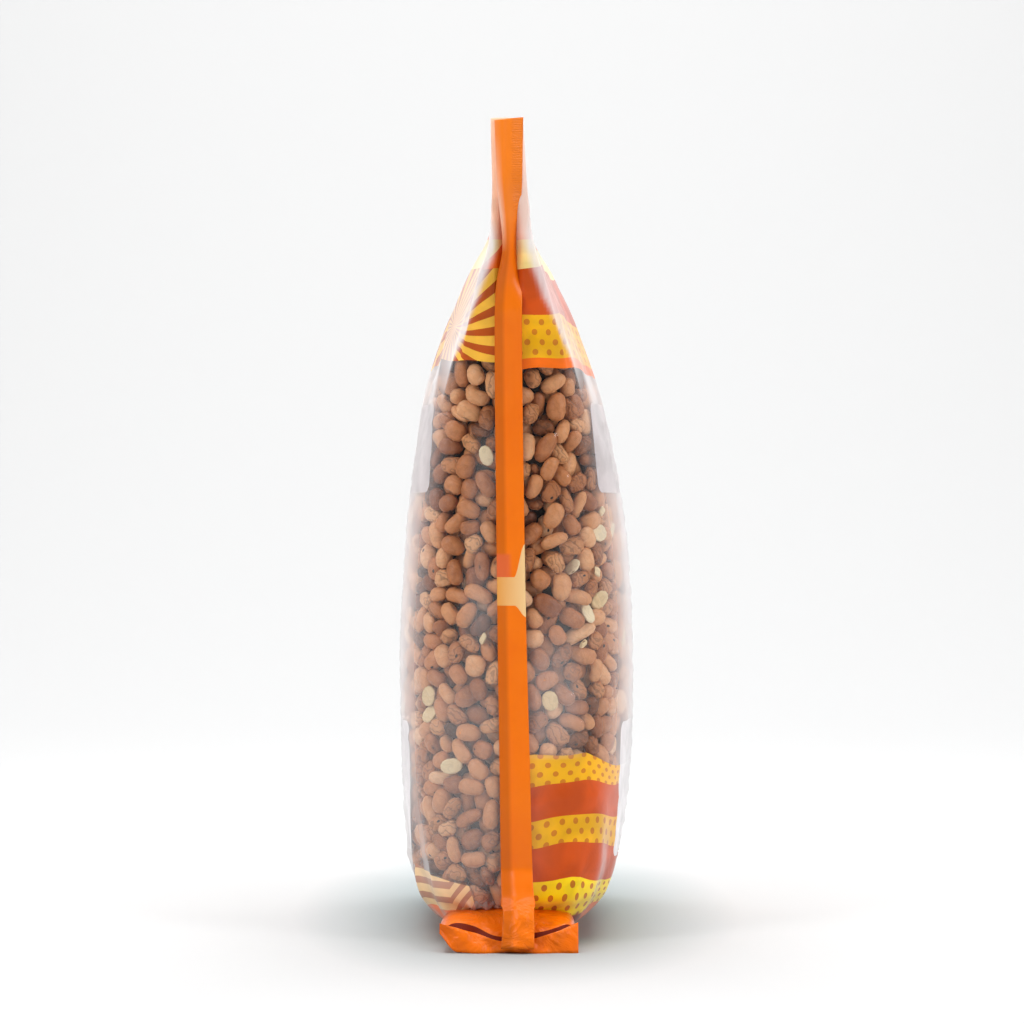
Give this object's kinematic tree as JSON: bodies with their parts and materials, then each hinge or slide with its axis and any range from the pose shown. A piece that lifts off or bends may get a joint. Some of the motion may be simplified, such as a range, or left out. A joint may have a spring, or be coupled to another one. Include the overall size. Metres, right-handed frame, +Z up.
{
  "type": "bag of dried beans",
  "caption": "Clear pillow bag filled with dried beans, standing on its folded bottom, with a printed film, a fin seal down its narrow side and a flat crimped header.",
  "frame": {"origin": "middle of the bag's box, on the surface that it stands on", "axes": "+Z up from the folded bottom to the crimped header; the narrow side with the fin seal faces -Y; the broad panels face -X and +X"},
  "size_m": [0.088, 0.2192, 0.29],
  "materials": {
    "clear_film": "clear glossy film over tan brown beans, seen as one surface on the solid",
    "printed_film": "orange, yellow and rust red print on glossy film",
    "fin_film": "satin orange film, heat sealed",
    "bean_skin": "dry bean skin, satin, tan to pinkish brown",
    "split_bean": "pale yellow inside of a split bean, matte",
    "inner_shade": "dark brown depth between the beans, matte"
  },
  "bodies": {
    "root": {"bean_bag": "clear_film"}
  },
  "joints": []
}
